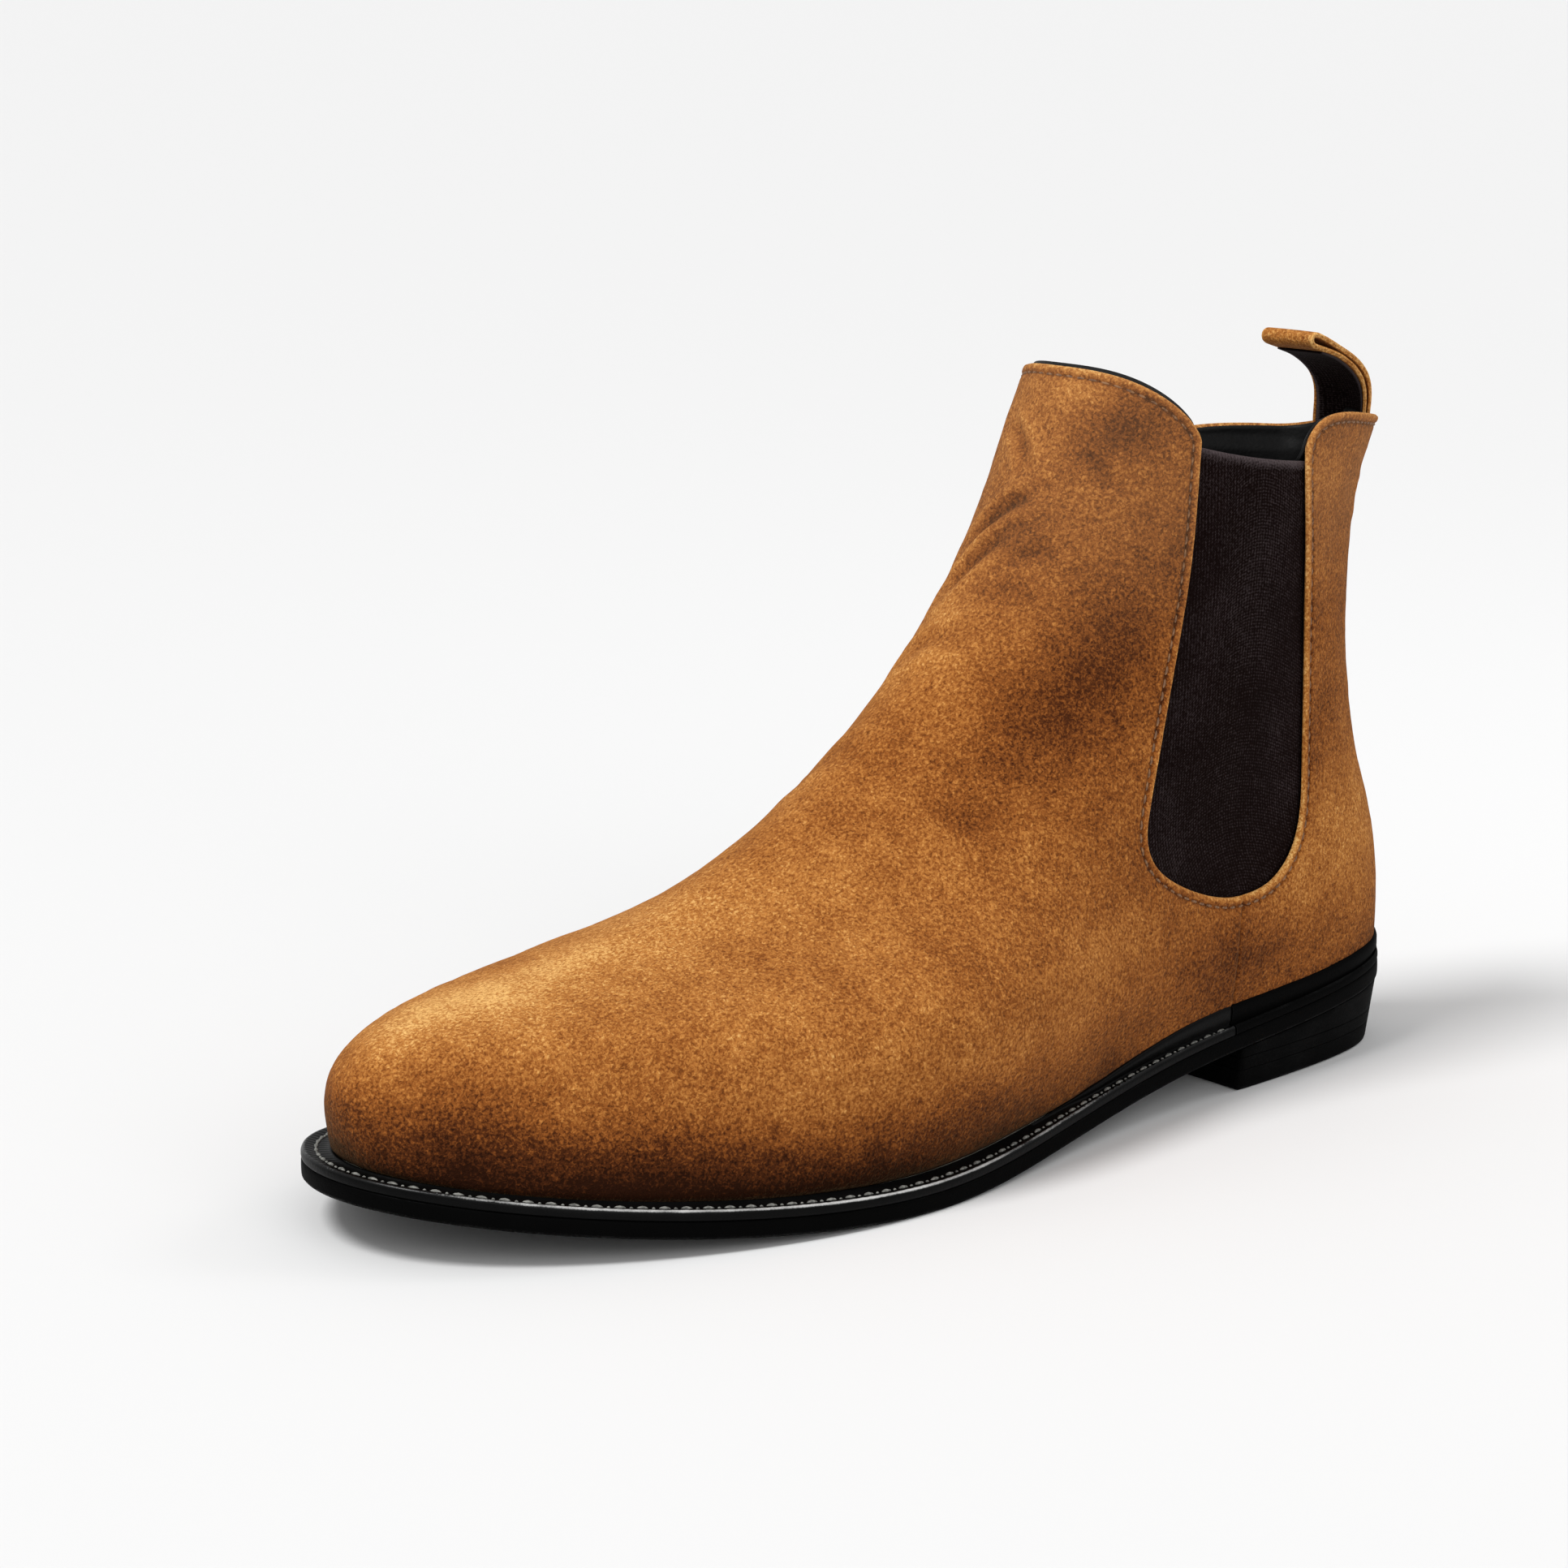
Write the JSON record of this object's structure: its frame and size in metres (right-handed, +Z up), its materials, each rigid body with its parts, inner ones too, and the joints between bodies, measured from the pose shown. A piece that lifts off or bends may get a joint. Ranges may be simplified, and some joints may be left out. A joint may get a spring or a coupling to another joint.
{
  "type": "chelsea boot",
  "caption": "Left ankle boot with a suede upper, elastic side gores, a rear pull loop, a welted leather sole and a low stacked heel.",
  "frame": {"origin": "centre of the heel's contact face on the ground", "axes": "+X towards the toe, +Y towards the outer (lateral) side, +Z up"},
  "size_m": [0.3021, 0.1095, 0.1739],
  "materials": {
    "suede": "napped suede",
    "gore_elastic": "finely woven elastic",
    "lining_black": "smooth lining leather",
    "welt_black": "polished edge",
    "sole_black": "dyed sole edge",
    "heel_rubber": "matte",
    "steel": "plain",
    "brass_pins": "plain",
    "insole_leather": "natural",
    "rib_canvas": "canvas",
    "cork": "granular cork",
    "stiffener": "thermoplastic sheet",
    "welt_thread": "waxed thread",
    "upper_thread": "fine thread"
  },
  "bodies": {
    "boot": {"outsole": "sole_black", "welt": "welt_black", "heel_rand": "welt_black", "heel_lift_upper": "sole_black", "heel_lift_lower": "sole_black", "heel_top_piece": "heel_rubber", "heel_nails": "steel", "top_piece_nails": "brass_pins", "insole": "insole_leather", "insole_rib": "rib_canvas", "cork_filler": "cork", "shank": "steel", "sock_lining": "lining_black", "vamp": "suede", "quarter": "suede", "lateral_gore": "gore_elastic", "medial_gore": "gore_elastic", "vamp_lining": "lining_black", "quarter_lining": "lining_black", "toe_puff": "stiffener", "heel_counter": "stiffener", "pull_loop_anchor": "suede", "welt_stitches": "welt_thread", "inseam_stitches": "welt_thread", "lateral_gore_stitches": "upper_thread", "medial_gore_stitches": "upper_thread", "topline_stitches": "upper_thread", "side_seam_stitches": "upper_thread"},
    "loop": {"pull_loop": "suede", "pull_loop_ribbon": "gore_elastic", "pull_loop_stitches": "upper_thread"}
  },
  "joints": [
    {"name": "pull_loop_bend", "type": "hinge", "parent": "boot", "child": "loop", "pos_m": [-0.0313, 0, 0.1545], "axis": [0, 1, 0], "range_deg": [-40, 45]}
  ]
}
